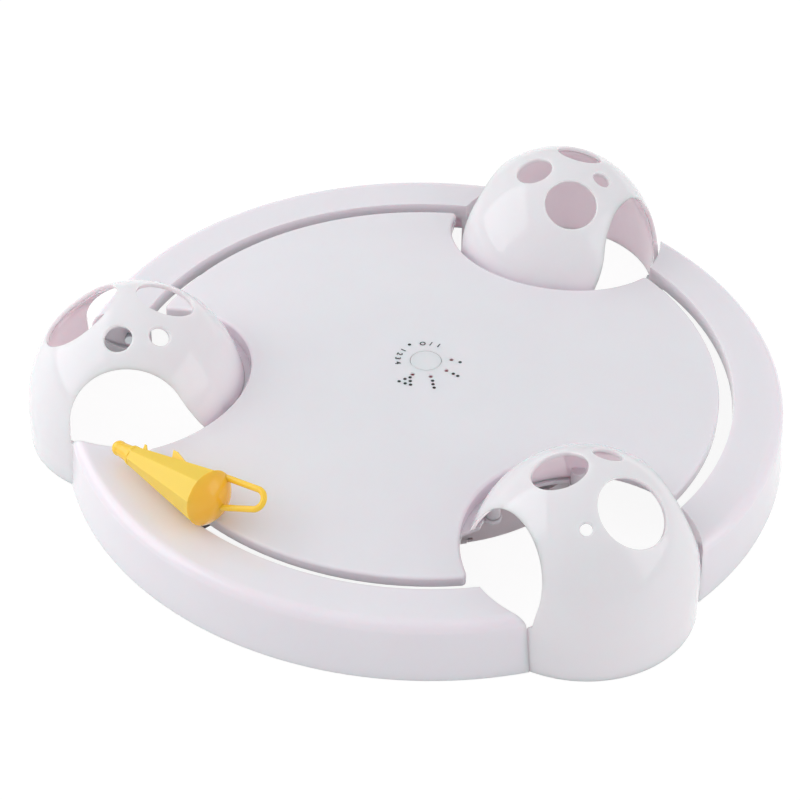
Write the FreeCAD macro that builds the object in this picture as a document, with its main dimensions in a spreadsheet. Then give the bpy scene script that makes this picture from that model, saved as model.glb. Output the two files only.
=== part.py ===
import FreeCAD, Part
import Sketcher

import math
import os
import re

# Motorised chase toy for cats: a crowned deck on a low drum, an outer ring in three
# segments, and three pierced domes that bridge the slot between them. A lure rides on
# an arm that a geared ring turns round a fixed turret. Millimetres, +Z up, origin on
# the floor at the centre of the ring. Domes stand at -60, 60 and 180 degrees about Z.

doc = FreeCAD.newDocument("chase_toy")
sheet = doc.addObject("Spreadsheet::Sheet", "sizes")

SIZES = [
    # outer ring: an open channel in three segments
    ("ring_r", 200.0, "outer radius at the foot of the drafted wall"),
    ("ring_top_r", 197.6, "outer radius at the top"),
    ("ring_in_r", 170.5, "radius of the inner edge"),
    ("ring_top_z", 36.0, "height of the flat top"),
    ("ring_foot_z", 0.5, "height of the bottom edge"),
    ("ring_wall", 2.4, "wall thickness"),
    ("ring_lip", 9.0, "depth of the inner lip"),
    ("ring_round", 6.0, "radius along the top outer edge"),
    ("ring_end_gap", 0.6, "gap between a segment's end and a dome's skirt"),
    ("rib_wall", 1.6, "thickness of ribs"),
    ("rib_h", 13.0, "height of ribs under the top"),
    ("rib_in_r", 186.0, "radius where the ribs start"),
    # deck: crowned plate with a skirt and three scallops
    ("deck_r", 162.5, "radius of the deck"),
    ("deck_edge_z", 36.0, "height of the deck's top at its edge"),
    ("deck_crown", 12.5, "rise from the edge to the centre"),
    ("deck_wall", 2.2, "thickness of the plate and its skirt"),
    ("deck_skirt_z", 30.0, "height of the skirt's bottom edge"),
    ("deck_round", 1.6, "radius along the deck's top edge"),
    ("deck_corner", 3.0, "radius of the deck's corners in plan"),
    ("ledge_wall", 2.2, "thickness of the ledge that a dome stands on"),
    ("ledge_reach", 6.0, "how far the ledge reaches in under the dome's wall"),
    # domes
    ("dome_circle", 160.0, "radius from the ring's centre to a dome's centre"),
    ("dome_r", 61.0, "outer radius of a dome"),
    ("dome_spring_z", 19.0, "height where the wall starts to curve in"),
    ("dome_rise", 70.0, "height of the curved part"),
    ("dome_wall", 2.4, "wall thickness"),
    ("dome_gap", 2.5, "gap between a dome's wall and the deck's scallop"),
    ("dome_foot_z", 34.0, "height of the wall's foot on the deck side"),
    ("arch_half", 32.0, "half width of the tunnel's mouth"),
    ("arch_spring_z", 40.0, "height where the mouth's round top starts"),
    ("arch_foot_z", 29.5, "height of the mouth's foot on the outer side"),
    ("arch_lean", 31.0, "lean of the mouth's edge on the deck side"),
    ("hole_bevel", 0.9, "bevel round each hole in a dome"),
    # drum under the deck
    ("pan_r", 100.0, "outer radius of the drum"),
    ("pan_z", 1.0, "height of the drum's underside"),
    ("pan_top_z", 20.0, "height of the drum's top"),
    ("pan_wall", 2.2, "thickness of the drum's wall"),
    ("pan_floor", 2.0, "thickness of the drum's floor"),
    ("plate_t", 2.0, "thickness of the chassis plate"),
    ("plate_gap", 0.3, "gap between the plate's edge and the drum's wall"),
    ("foot_r", 7.0, "radius of a rubber foot"),
    ("foot_seat", 1.2, "depth of the pocket that holds a foot"),
    ("foot_circle", 86.0, "radius of the circle that the feet stand on"),
    ("pan_screw_sink", 0.7, "depth of the pan screws' heads in the drum"),
    ("pan_screw_circle", 88.0, "radius of the circle of the drum's screws"),
    ("boss_r", 4.0, "radius of a screw boss"),
    # turret: fixed tower that carries the deck and the control board
    ("turret_r", 28.5, "outer radius, the journal of the drive ring"),
    ("turret_wall", 2.0, "wall thickness"),
    ("turret_top_z", 40.4, "height of the turret's top"),
    ("turret_flange", 2.2, "thickness of the turret's top"),
    ("deck_screw_circle", 23.0, "radius of the circle of the deck's screws"),
    ("run_gap", 0.08, "radial clearance of a running fit"),
    # drive ring, driven on internal teeth
    ("ring_gear_module", 1.0, "tooth module of the second stage"),
    ("ring_gear_teeth", 84, "internal teeth of the drive ring"),
    ("drive_pinion_teeth", 12, "teeth of the pinion in mesh with the drive ring"),
    ("wheel_module", 0.6, "tooth module of the first stage"),
    ("wheel_teeth", 50, "teeth of the wheel in mesh with the motor's pinion"),
    ("motor_pinion_teeth", 10, "teeth of the motor's pinion"),
    ("drive_ring_z", 20.6, "height of the drive ring's underside"),
    ("drive_teeth_t", 5.2, "height of the internal teeth"),
    ("drive_web_t", 2.0, "thickness of the drive ring's web"),
    ("drive_rim", 3.6, "rim behind the internal teeth"),
    ("drive_hub_rise", 3.0, "height of the hub above the web"),
    ("drive_hub_wall", 2.4, "thickness of the hub"),
    ("retainer_t", 1.6, "thickness of the retaining ring"),
    ("retainer_gap", 0.3, "play between hub and retaining ring"),
    ("gear_axle_r", 1.0, "radius of the reduction gear's axle"),
    ("axle_gap", 0.05, "radial clearance on an axle"),
    ("wheel_z", 9.0, "height of the wheel's underside"),
    ("wheel_t", 3.5, "thickness of the wheel"),
    ("gear_backlash", 0.16, "thinning of each tooth for backlash"),
    ("gear_circle", 36.0, "distance of the reduction gear's axle from the centre"),
    ("pinion_tip_r", 7.0, "tip radius of the pinion in mesh with the drive ring"),
    ("track_r", 47.6, "outer radius of the track that the drive ring runs on"),
    # motor
    ("motor_y", 18.0, "distance of the motor's axis from the centre"),
    ("bracket_t", 2.0, "thickness of the motor bracket"),
    ("bracket_screw_x", 15.0, "distance of the bracket's screws from its middle"),
    ("motor_r", 7.75, "radius of the motor's can"),
    ("motor_flat", 6.0, "half distance across the can's flats"),
    ("motor_can_h", 15.5, "length of the can"),
    ("motor_cap_h", 2.5, "length of the end cap"),
    ("motor_shaft_r", 1.0, "radius of the motor's shaft"),
    ("bracket_z", 15.5, "height of the motor bracket's underside"),
    ("motor_pinion_z", 8.4, "height of the pinion's underside"),
    ("motor_pinion_t", 4.8, "length of the pinion"),
    # arm and lure
    ("arm_azimuth", -138.0, "angle of the arm at rest"),
    ("arm_z", 22.0, "height of the arm's underside"),
    ("arm_t", 4.6, "height of the arm"),
    ("arm_half", 6.0, "half width of the arm at its root"),
    ("arm_tip_half", 4.5, "half width of the arm at its tip"),
    ("arm_tip_r", 168.0, "radius that the arm reaches"),
    ("stem_circle", 166.5, "radius at which the stem stands in the slot"),
    ("stem_half_x", 1.5, "half thickness of the stem across the slot"),
    ("stem_half_y", 3.5, "half width of the stem along the slot"),
    ("stem_top_z", 38.6, "height of the stem's shoulder"),
    ("tenon_h", 4.2, "height of the stem's tip above its shoulder"),
    ("lure_circle", 165.5, "radius at which the lure's butt lies"),
    ("lure_azimuth", -132.6, "angle of the lure's butt about the centre"),
    ("lure_turn", -133.8, "heading of the lure"),
    ("lure_tip_down", 6.5, "angle by which the lure's tip hangs"),
    ("lure_z", 53.0, "height of the lure's axis at its butt"),
    ("lure_butt_r", 15.4, "radius of the lure's butt"),
    ("lure_tip_r", 3.8, "radius of the lure's tip"),
    ("lure_neck_r", 5.6, "radius at the lure's collar"),
    ("lure_len", 70.5, "length of the lure from butt to tip"),
    ("lure_neck_len", 11.0, "length from the collar to the tip"),
    ("lure_wall", 1.6, "wall thickness of the lure"),
    ("lure_cap_bulge", 8.0, "how far the end cap bulges"),
    ("fin_t", 1.2, "thickness of the lure's fins"),
    ("loop_r", 5.35, "radius of the loop's bow"),
    ("loop_reach", 16.2, "distance of the bow's centre from the loop's roots"),
    ("loop_root", 7.5, "half distance between the loop's roots"),
    ("loop_sunk", 4.0, "length of each leg in the cap"),
    ("loop_lift", 7.9, "angle by which the loop rises"),
    ("loop_roll", -47.6, "angle by which the loop leans about the lure's axis"),
    ("loop_turn", 8.6, "angle between the loop and the lure's axis"),
    ("loop_x", -7.35, "place of the loop's roots across the lure"),
    ("loop_y", 7.0, "place of the loop's roots along the lure"),
    ("loop_z", 1.68, "place of the loop's roots above the lure's axis"),
    ("loop_tube", 1.7, "radius of the loop's rod"),
    # control
    ("button_r", 8.5, "radius of the power button"),
    ("button_gap", 0.3, "gap round the button"),
    ("button_travel", 0.6, "travel of the button"),
    ("button_t", 1.8, "thickness of the button's face"),
    ("led_circle", 14.2, "radius of the circle of lamps"),
    ("led_hole_r", 1.25, "radius of a lamp's hole in the deck"),
    ("led_r", 1.1, "radius of a lamp's lens"),
    ("board_r", 21.0, "radius of the control board"),
    ("board_t", 1.6, "thickness of the control board"),
    ("board_z", 41.4, "height of the control board's underside"),
    ("switch_half", 3.0, "half width of the tact switch"),
    ("switch_h", 1.6, "height of the tact switch"),
    ("plunger_r", 1.6, "radius of the switch's plunger"),
    # cells
    ("cell_r", 7.15, "radius of an AA cell"),
    ("cell_len", 49.3, "length of a cell without its nub"),
    ("cell_pitch", 15.2, "distance between cells"),
    ("cell_count", 3, "number of cells"),
    ("nub_r", 2.6, "radius of a cell's nub"),
    ("nub_len", 1.2, "length of a cell's nub"),
    ("plate_contact", 0.7, "thickness of a contact plate"),
    ("leaf_t", 0.4, "thickness of a contact spring's strip"),
    ("leaf_half", 4.0, "half height of a contact spring"),
    ("leaf_width", 4.0, "width of a contact spring"),
    ("bay_y", -92.5, "outer end of the battery bay"),
    ("bay_len", 58.5, "length of the battery bay"),
    ("bay_half", 25.0, "half width of the battery bay"),
    ("bay_wall", 1.8, "thickness of the bay's walls"),
    ("door_half", 22.0, "half width of the door's plate"),
    ("door_gap", 0.25, "gap round the door"),
    ("door_flange", 1.2, "thickness of the door's runners"),
    # fasteners
    ("screw_r", 1.5, "radius of a screw's shank"),
    ("screw_head_r", 2.8, "radius of a screw's head"),
    ("screw_head_t", 1.8, "height of a screw's head"),
    ("screw_play", 0.25, "radial clearance of a screw in a through hole"),
    ("small_screw_r", 1.0, "radius of a small screw's shank"),
    ("small_head_r", 1.9, "radius of a small screw's head"),
    ("small_head_t", 0.9, "height of a small screw's head"),
    ("ring_screw_turn", 80.0, "angle of a ring screw about a dome's axis, from the outward side"),
    ("ring_screw_z", 18.0, "height of the ring screws"),
    ("dome_screw_circle", 52.6, "distance of a dome's screws from its axis"),
    ("dome_screw_turn", 30.0, "angle of a dome's screws about its axis, from the inward side"),
]
ALIASES = {name for name, size, note in SIZES}
for row, (name, size, note) in enumerate(SIZES, start=1):
    sheet.set(f"A{row}", note)
    sheet.set(f"B{row}", str(size))
    sheet.setAlias(f"B{row}", name)
doc.recompute()

DOME_AZIMUTHS = {"front": -60.0, "back": 60.0, "left": 180.0}
SEGMENT_AZIMUTHS = {"front": -120.0, "right": 0.0, "back": 120.0}
# Holes in each dome: turn about the dome's axis from the outward side, distance of the
# hole's centre from that axis, and radius.
DOME_HOLES = {
    "front": [(17.7, 30.4, 19.4), (-133.8, 15.6, 14.9), (117.9, 20.2, 7.8), (-34.7, 33.0, 3.2)],
    "left": [(-10, 32.4, 24.2), (-154, 20.2, 16.3), (77.5, 26.3, 7.7), (126.7, 27.9, 5.5)],
    "back": [(-141.5, 30.3, 15.1), (135, 17.2, 10.6), (-82, 25.0, 5.2), (-8, 19.0, 13.0)],
}


def terms(text):
    """Write a formula of size names as a spreadsheet formula."""
    return re.sub(r"[A-Za-z_]+\w*", lambda m: "sizes." + m.group() if m.group() in ALIASES else m.group(),
                  str(text))


def val(text):
    """Value of a formula of size names."""
    return float(sheet.evalExpression(terms(text)))


def bind(obj, **formulas):
    """Tie properties of an object to formulas of size names."""
    for prop, text in formulas.items():
        obj.setExpression(prop.replace("__", "."), terms(text))
    return obj


def at(obj, x="0", y="0", z="0", turn=None, axis=(0, 0, 1)):
    """Place an object at formulas of size names, turned about an axis by a formula in degrees."""
    if turn is not None:
        obj.Placement = FreeCAD.Placement(FreeCAD.Vector(), FreeCAD.Rotation(FreeCAD.Vector(*axis), 1.0))
        bind(obj, Placement__Rotation__Angle=turn)
    return bind(obj, Placement__Base__x=x, Placement__Base__y=y, Placement__Base__z=z)


def cylinder(r, height, **place):
    obj = doc.addObject("Part::Cylinder", "cylinder")
    return at(bind(obj, Radius=r, Height=height), **place)


def cone(r1, r2, height, **place):
    obj = doc.addObject("Part::Cone", "cone")
    return at(bind(obj, Radius1=r1, Radius2=r2, Height=height), **place)


def box(length, width, height, x="0", y="0", z="0"):
    """Box centred on x and y, standing on z."""
    obj = doc.addObject("Part::Box", "box")
    bind(obj, Length=length, Width=width, Height=height)
    return at(obj, x=f"({x}) - ({length})/2", y=f"({y}) - ({width})/2", z=z)


def fuse(*shapes):
    obj = doc.addObject("Part::MultiFuse", "fuse")
    obj.Shapes = list(shapes)
    obj.Refine = True
    return obj


def cut(base, *tools):
    obj = doc.addObject("Part::Cut", "cut")
    obj.Base = base
    obj.Tool = tools[0] if len(tools) == 1 else fuse(*tools)
    obj.Refine = True
    return obj


def common(first, second):
    obj = doc.addObject("Part::Common", "common")
    obj.Base = first
    obj.Tool = second
    return obj


def group(*shapes):
    """Separate solids in one node."""
    obj = doc.addObject("Part::Compound", "group")
    obj.Links = list(shapes)
    return obj


def rounded(base, radius, picks):
    """Fillet the edges of base that picks says."""
    doc.recompute()
    size = val(radius)
    obj = doc.addObject("Part::Fillet", "fillet")
    obj.Base = base
    obj.Edges = [(i, size, size) for i, edge in enumerate(base.Shape.Edges, start=1)
                 if not edge.Degenerated and picks(edge)]
    return obj


def part(obj, label):
    """Name a finished sub-part."""
    obj.Label = label
    PARTS.append(obj)
    return obj


PARTS = []


def plane_of(body, role):
    return next(f for f in body.Origin.OriginFeatures if f.Role == role)


def section(body, points, role="XZ_Plane"):
    """Closed sketch of straight lines through points given as formulas."""
    sketch = body.newObject("Sketcher::SketchObject", "section")
    sketch.AttachmentSupport = [(plane_of(body, role), "")]
    sketch.MapMode = "FlatFace"
    corners = [FreeCAD.Vector(val(x), val(y), 0) for x, y in points]
    count = len(corners)
    for i in range(count):
        sketch.addGeometry(Part.LineSegment(corners[i], corners[(i + 1) % count]), False)
    for i in range(count):
        sketch.addConstraint(Sketcher.Constraint("Coincident", i, 2, (i + 1) % count, 1))
    for i, (x, y) in enumerate(points):
        for kind, text, size in (("DistanceX", x, corners[i].x), ("DistanceY", y, corners[i].y)):
            index = sketch.addConstraint(Sketcher.Constraint(kind, -1, 1, i, 1, size))
            sketch.setExpression(f"Constraints[{index}]", terms(text))
    return sketch


def turned(points, angle=360.0, start=0.0):
    """Body made by turning a section about Z."""
    body = doc.addObject("PartDesign::Body", "body")
    sketch = section(body, points)
    solid = body.newObject("PartDesign::Revolution", "turn")
    solid.Profile = sketch
    solid.ReferenceAxis = (sketch, ["V_Axis"])
    solid.Angle = angle
    if start:
        body.Placement = FreeCAD.Placement(FreeCAD.Vector(), FreeCAD.Rotation(start, 0, 0))
    return body


def polar(radius, degrees):
    """Formulas of a point on a circle about Z."""
    return {"x": f"({radius}) * cos({degrees})", "y": f"({radius}) * sin({degrees})"}


def screw(z_head, z_tip, x, y, up=True):
    """Screw along Z with a round head at z_head and its tip at z_tip."""
    head = cylinder("screw_head_r", "screw_head_t", x=x, y=y,
                    z=z_head if up else f"({z_head}) - screw_head_t")
    low, high = (z_head, z_tip) if up else (z_tip, z_head)
    shank = cylinder("screw_r", f"({high}) - ({low})", x=x, y=y, z=low)
    return fuse(head, shank)


# ---------------------------------------------------------------- domes
def dome_shell(extra):
    """Solid of a dome, grown by extra, about its own centre."""
    skirt = cylinder(f"dome_r + ({extra})", "dome_spring_z - ring_foot_z", z="ring_foot_z")
    crown = doc.addObject("Part::Ellipsoid", "crown")
    bind(crown, Radius1=f"dome_rise + ({extra})", Radius2=f"dome_r + ({extra})",
         Radius3=f"dome_r + ({extra})")
    crown.Angle1 = 0.0
    crown.Angle2 = 90.0
    at(crown, z="dome_spring_z")
    return fuse(skirt, crown)


def mouth():
    """Tunnel through a dome along its Y: round top, upright outer side, leaning deck side."""
    reach = "4 * dome_r"
    top = cylinder("arch_half", reach, y=f"({reach}) / 2", z="arch_spring_z", turn="90", axis=(1, 0, 0))
    body = doc.addObject("PartDesign::Body", "mouth")
    lean_x = "arch_half * cos(arch_lean)"
    lean_z = "arch_spring_z + arch_half * sin(arch_lean)"
    low = body.newObject("PartDesign::Pad", "low")
    low.Profile = section(body, [("arch_half", "arch_foot_z"), ("arch_half", "arch_spring_z"), ("0", lean_z),
                                 (f"-({lean_x})", lean_z), (f"-({ARCH_FOOT})", "dome_foot_z"),
                                 ("0", "dome_foot_z"),
                                 ("0", "arch_foot_z")])
    low.Midplane = True
    bind(low, Length=reach)
    return fuse(top, body)


# Distance of the mouth's edge from the dome's axis where it meets the deck.
ARCH_FOOT = ("arch_half * cos(arch_lean) + (arch_spring_z + arch_half * sin(arch_lean) - dome_foot_z)"
             " * tan(arch_lean)")


def dome(label, azimuth, holes):
    shell = cut(dome_shell("0"), dome_shell("-dome_wall"),
                cylinder("dome_r - dome_wall", "1", z="ring_foot_z - 0.5"))
    reach = "4 * dome_r"
    low_inside = cut(cylinder("dome_r + 5", "ring_top_z + 1", z="-1"),
                     cut(cylinder("3 * dome_r", "ring_top_z", z="0", x="0"),
                         cylinder("ring_in_r + 0.5", "ring_top_z + 2", x="-dome_circle", z="-1")))
    deck_side = common(low_inside, box("dome_r * 2", reach, "dome_foot_z + 1", x="-dome_r - arch_half",
                                       z="-1"))
    slot_side = common(low_inside, box("dome_r", reach, "ring_top_z + 1", x="-arch_half + dome_r/2", z="-1"))
    drills = []
    for turn, distance, radius in holes:
        across = math.radians(turn)
        rise = val("dome_rise") * math.sqrt(max(0.05, 1 - (distance / val("dome_r")) ** 2))
        slope = math.degrees(math.atan2(distance * val("dome_rise") ** 2, rise * val("dome_r") ** 2))
        spot = FreeCAD.Vector(distance * math.cos(across), distance * math.sin(across),
                              val("dome_spring_z") + rise)
        tilt = FreeCAD.Rotation(FreeCAD.Vector(-math.sin(across), math.cos(across), 0), slope)
        along = tilt.multVec(FreeCAD.Vector(0, 0, 1))
        hole = doc.addObject("Part::Cylinder", "hole")
        hole.Radius = radius
        hole.Height = radius + 12
        hole.Placement = FreeCAD.Placement(spot - along * (radius + 6), tilt)
        bevel = doc.addObject("Part::Cone", "bevel")
        depth = radius ** 2 / 2 * (1 / val("dome_r"))
        bevel.Radius1 = radius - 0.01
        bind(bevel, Radius2=f"{radius} + 3 * hole_bevel", Height="3 * hole_bevel")
        bevel.Placement = FreeCAD.Placement(spot - along * (depth + val("hole_bevel")), tilt)
        drills += [hole, bevel]
    shell = cut(shell, mouth(), deck_side, slot_side, *drills)
    spots = [polar("dome_screw_circle", f"180 + {side} * dome_screw_turn") for side in (-1, 1)]
    pads = [common(cylinder("boss_r", "9", z="dome_foot_z", **spot),
                   dome_shell("-dome_wall / 2")) for spot in spots]
    body = cut(fuse(shell, *pads), *[cylinder("screw_r", "7", z="dome_foot_z - 1", **spot) for spot in spots])
    for side in (-1, 1):
        # through holes for the screws that hold the ring segments
        body = cut(body, ring_screw_hole(side))
    return part(at(body, turn=f"{azimuth}", x=f"dome_circle * cos({azimuth})",
                   y=f"dome_circle * sin({azimuth})"),
               label)


def ring_screw_hole(side):
    """Hole through a dome's skirt towards a ring segment, in the dome's own frame."""
    hole = doc.addObject("Part::Cylinder", "hole")
    bind(hole, Radius="screw_r + screw_play", Height="3 * dome_wall")
    return radial(hole, side, "dome_r - 2 * dome_wall")


def radial(obj, side, distance):
    """Lay a cylinder along the dome's radius at the height of the ring's screws."""
    turn = math.radians(side * val("ring_screw_turn"))
    aim = FreeCAD.Vector(math.cos(turn), math.sin(turn), 0)
    obj.Placement = FreeCAD.Placement(aim * val(distance) + FreeCAD.Vector(0, 0, val("ring_screw_z")),
                                      FreeCAD.Rotation(FreeCAD.Vector(0, 0, 1), aim))
    return obj


for side_name, azimuth in DOME_AZIMUTHS.items():
    dome(f"dome_{side_name}", azimuth, DOME_HOLES[side_name])


# ---------------------------------------------------------------- outer ring
def segment(label, azimuth):
    """Channel open below, with closed ends that follow the domes' skirts."""
    wall = turned([("ring_in_r", "ring_top_z"), ("ring_in_r", "ring_top_z - ring_lip"),
                   ("ring_in_r + ring_wall", "ring_top_z - ring_lip"),
                   ("ring_in_r + ring_wall", "ring_top_z - ring_wall"),
                   ("ring_top_r - ring_round", "ring_top_z - ring_wall"),
                   ("ring_top_r - ring_wall", "ring_top_z - ring_round"),
                   ("ring_r - ring_wall", "ring_foot_z"), ("ring_r", "ring_foot_z"),
                   ("ring_top_r", "ring_top_z")], 120.0, azimuth - 60.0)
    solid = turned([("ring_in_r", "ring_foot_z + 3"), ("ring_r - 0.6", "ring_foot_z + 3"),
                    ("ring_top_r - 0.4", "ring_top_z - ring_round - 0.4"),
                    ("ring_top_r - ring_round", "ring_top_z - 1"),
                    ("ring_in_r", "ring_top_z - 1")], 120.0, azimuth - 60.0)
    wall = rounded(wall, "ring_round", lambda e: e.BoundBox.ZMin > val("ring_top_z") - 0.01
                   and e.Curve.TypeId == "Part::GeomCircle" and abs(e.Curve.Radius - val("ring_top_r")) < 0.01)
    ends = []
    ribs = []
    for side in (-60.0, 60.0):
        spot = polar("dome_circle", azimuth + side)
        ends.append(cut(cylinder("dome_r + ring_end_gap + ring_wall", "ring_top_z + 10", z="-5", **spot),
                        cylinder("dome_r + ring_end_gap", "ring_top_z + 12", z="-6", **spot)))
    for turn in (-24.0, -8.0, 8.0, 24.0):
        rib = box("ring_r", "rib_wall", "rib_h", x="rib_in_r + ring_r / 2", z="ring_top_z - rib_h")
        ribs.append(at(group(rib), turn=f"{azimuth + turn}"))
    frames = fuse(common(solid, fuse(*ends)), common(solid, group(*ribs)))
    bosses = []
    holes = []
    for side in (-60.0, 60.0):
        boss = doc.addObject("Part::Cylinder", "boss")
        bind(boss, Radius="boss_r", Height="8")
        radial(boss, -side / 60.0, "dome_r + ring_end_gap + 0.2")
        hole = doc.addObject("Part::Cylinder", "pilot")
        bind(hole, Radius="screw_r", Height="8.5")
        radial(hole, -side / 60.0, "dome_r + ring_end_gap - 0.5")
        spot = polar("dome_circle", azimuth + side)
        bosses.append(at(group(boss), turn=f"{azimuth + side}", **spot))
        holes.append(at(group(hole), turn=f"{azimuth + side}", **spot))
    clear = [cylinder("dome_r + ring_end_gap", "ring_top_z + 12", z="-6",
                      **polar("dome_circle", azimuth + side))
             for side in (-60.0, 60.0)]
    return part(cut(fuse(wall, frames, *bosses), *clear, *holes), label)


for side_name, azimuth in SEGMENT_AZIMUTHS.items():
    segment(f"ring_segment_{side_name}", azimuth)


# ---------------------------------------------------------------- deck
def crowned(grow, low):
    """Solid under the crowned surface, inside the deck's outline, pulled in by grow."""
    half = "deck_r ^ 2"
    ball_r = f"(({half}) + deck_crown ^ 2) / (2 * deck_crown)"
    ball = doc.addObject("Part::Sphere", "ball")
    bind(ball, Radius=f"({ball_r}) - ({grow})")
    at(ball, z=f"deck_edge_z + deck_crown - ({ball_r})")
    disc = cylinder(f"deck_r - ({grow})", "deck_edge_z + deck_crown + 5", z=low)
    scallops = [cylinder(f"dome_r + dome_gap + ({grow})", "deck_edge_z + deck_crown + 20", z="-5",
                         **polar("dome_circle", a)) for a in DOME_AZIMUTHS.values()]
    return cut(common(disc, ball), *scallops)


def upright(edge):
    return edge.Curve.TypeId == "Part::GeomLine" and edge.BoundBox.XLength + edge.BoundBox.YLength < 0.01


outer = rounded(crowned("0", "deck_skirt_z"), "deck_corner", upright)
outer = rounded(outer, "deck_round", lambda e: not upright(e) and e.BoundBox.ZMax > val("deck_edge_z") - 1.0
                and e.BoundBox.ZMin > val("deck_skirt_z") + 1.0)
ledges = []
for azimuth in DOME_AZIMUTHS.values():
    spot = polar("dome_circle", azimuth)
    band = cut(cylinder("dome_r + dome_gap + 0.5", "ledge_wall", z="dome_foot_z - ledge_wall", **spot),
               cylinder("dome_r + 0.5 - ledge_reach", "ledge_wall + 2", z="dome_foot_z - ledge_wall - 1",
                        **spot))
    tongue = box("2 * dome_r", "2 * dome_r", "ledge_wall", x=f"-dome_r - ({ARCH_FOOT}) - 0.5",
                 z="dome_foot_z - ledge_wall")
    ears = [cylinder("boss_r + 0.6", "ledge_wall", z="dome_foot_z - ledge_wall",
                     **polar("dome_screw_circle", f"180 + {side} * dome_screw_turn")) for side in (-1, 1)]
    ears = at(group(*ears), turn=f"{azimuth}", **spot)
    ledges.append(fuse(common(band, at(group(tongue), turn=f"{azimuth}", **spot)), ears))
    for side in (-1, 1):
        hole = cylinder("screw_r + screw_play", "ledge_wall + 2", z="dome_foot_z - ledge_wall - 1",
                        **polar("dome_screw_circle", f"180 + {side} * dome_screw_turn"))
        ledges[-1] = cut(ledges[-1], at(group(hole), turn=f"{azimuth}", **spot))
posts = []
DECK_SCREW_TURNS = (30, 150, 270)
BOARD_SCREW_TURNS = (60, 180, 300)
for turn in DECK_SCREW_TURNS:
    spot = polar("deck_screw_circle", turn)
    posts.append(cut(cylinder("boss_r", "deck_edge_z + deck_crown - deck_wall - turret_top_z",
                              z="turret_top_z",
                              **spot),
                     cylinder("screw_r", "5", z="turret_top_z", **spot)))
for turn in BOARD_SCREW_TURNS:
    spot = polar("board_r - 3", turn)
    posts.append(cut(cylinder("2.6", "deck_edge_z + deck_crown - deck_wall - board_z - board_t",
                              z="board_z + board_t", **spot),
                              cylinder("1", "2.6", z="board_z + board_t", **spot)))
LED_TURNS = (4.5, -37.5, -79.5, -121.0)
windows = [cylinder("button_r + button_gap", "20", z="deck_edge_z")]
windows += [cylinder("led_hole_r", "20", z="deck_edge_z", **polar("led_circle", turn)) for turn in LED_TURNS]
collar = cut(cylinder("button_r + button_gap + 1.2", "2", z="deck_edge_z + deck_crown - deck_wall - 1.6"),
             cylinder("button_r + button_gap", "20", z="deck_edge_z"))
deck = cut(fuse(cut(outer, crowned("deck_wall", "deck_skirt_z - 1")), *ledges, *posts, collar), *windows)
part(deck, "deck")


# ---------------------------------------------------------------- drum, door and cells
PAN_SCREW_TURNS = (-20, 60, 120, 200)
FOOT_TURNS = (40, 140, -40, -140)
PIN_TURN = 90


def pan():
    """Round drum with a battery bay, screw bosses and pockets for the feet."""
    drum = turned([("0", "pan_z"), ("pan_r", "pan_z"), ("pan_r", "pan_top_z"),
                   ("pan_r - pan_wall", "pan_top_z"),
                   ("pan_r - pan_wall", "pan_z + pan_floor"), ("0", "pan_z + pan_floor")])
    drum = rounded(drum, "pan_wall / 2", lambda e: e.Curve.TypeId == "Part::GeomCircle"
                   and abs(e.Curve.Radius - val("pan_r")) < 0.01 and e.BoundBox.ZMax < val("pan_z") + 0.01)
    plate_z = "pan_top_z - plate_t"
    bay_h = f"{plate_z} - pan_z - pan_floor"
    bay_mid = "bay_y + bay_len / 2"
    bay = cut(box("2 * (bay_half + bay_wall)", "bay_len + 2 * bay_wall", bay_h, y=bay_mid,
                  z="pan_z + pan_floor"),
              box("2 * bay_half", "bay_len", "pan_top_z", y=bay_mid, z="0"))
    bosses = [cylinder("boss_r", f"{plate_z} - pan_z - 0.5", z="pan_z + 0.5", **polar("pan_screw_circle", t))
              for t in PAN_SCREW_TURNS]
    pin_boss = cylinder("boss_r", "wheel_z - pan_z - pan_floor - 0.4", z="pan_z + pan_floor",
                        **polar("gear_circle", PIN_TURN))
    solid = fuse(drum, common(bay, cylinder("pan_r - 0.5", "pan_top_z")), *bosses, pin_boss)
    doorway = box("2 * (door_half + door_gap)", "pan_r", "pan_floor + 1", z="pan_z - 0.5",
                  y="bay_y + bay_len + bay_wall - door_gap - 1 - pan_r / 2")
    runway = box("2 * bay_half", "pan_r", "door_flange + 2 * door_gap + 0.01", z="pan_z + pan_floor - 0.01",
                 y="bay_y + bay_len - pan_r / 2")
    tools = [doorway, runway]
    for turn in PAN_SCREW_TURNS:
        spot = polar("pan_screw_circle", turn)
        tools.append(cylinder("screw_r + screw_play", "pan_top_z", z="0", **spot))
        tools.append(cylinder("screw_head_r + screw_play", "screw_head_t + pan_screw_sink + 0.1",
                              z="pan_z - 0.1", **spot))
    for turn in FOOT_TURNS:
        tools.append(cylinder("foot_r", "foot_seat", z="pan_z", **polar("foot_circle", turn)))
    tools.append(cylinder("foot_r", "foot_seat", z="pan_z"))
    tools.append(cylinder("gear_axle_r", "pan_top_z", z="pan_z + pan_floor + 0.5",
                          **polar("gear_circle", PIN_TURN)))
    part(cut(solid, *tools), "base_pan")


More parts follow.
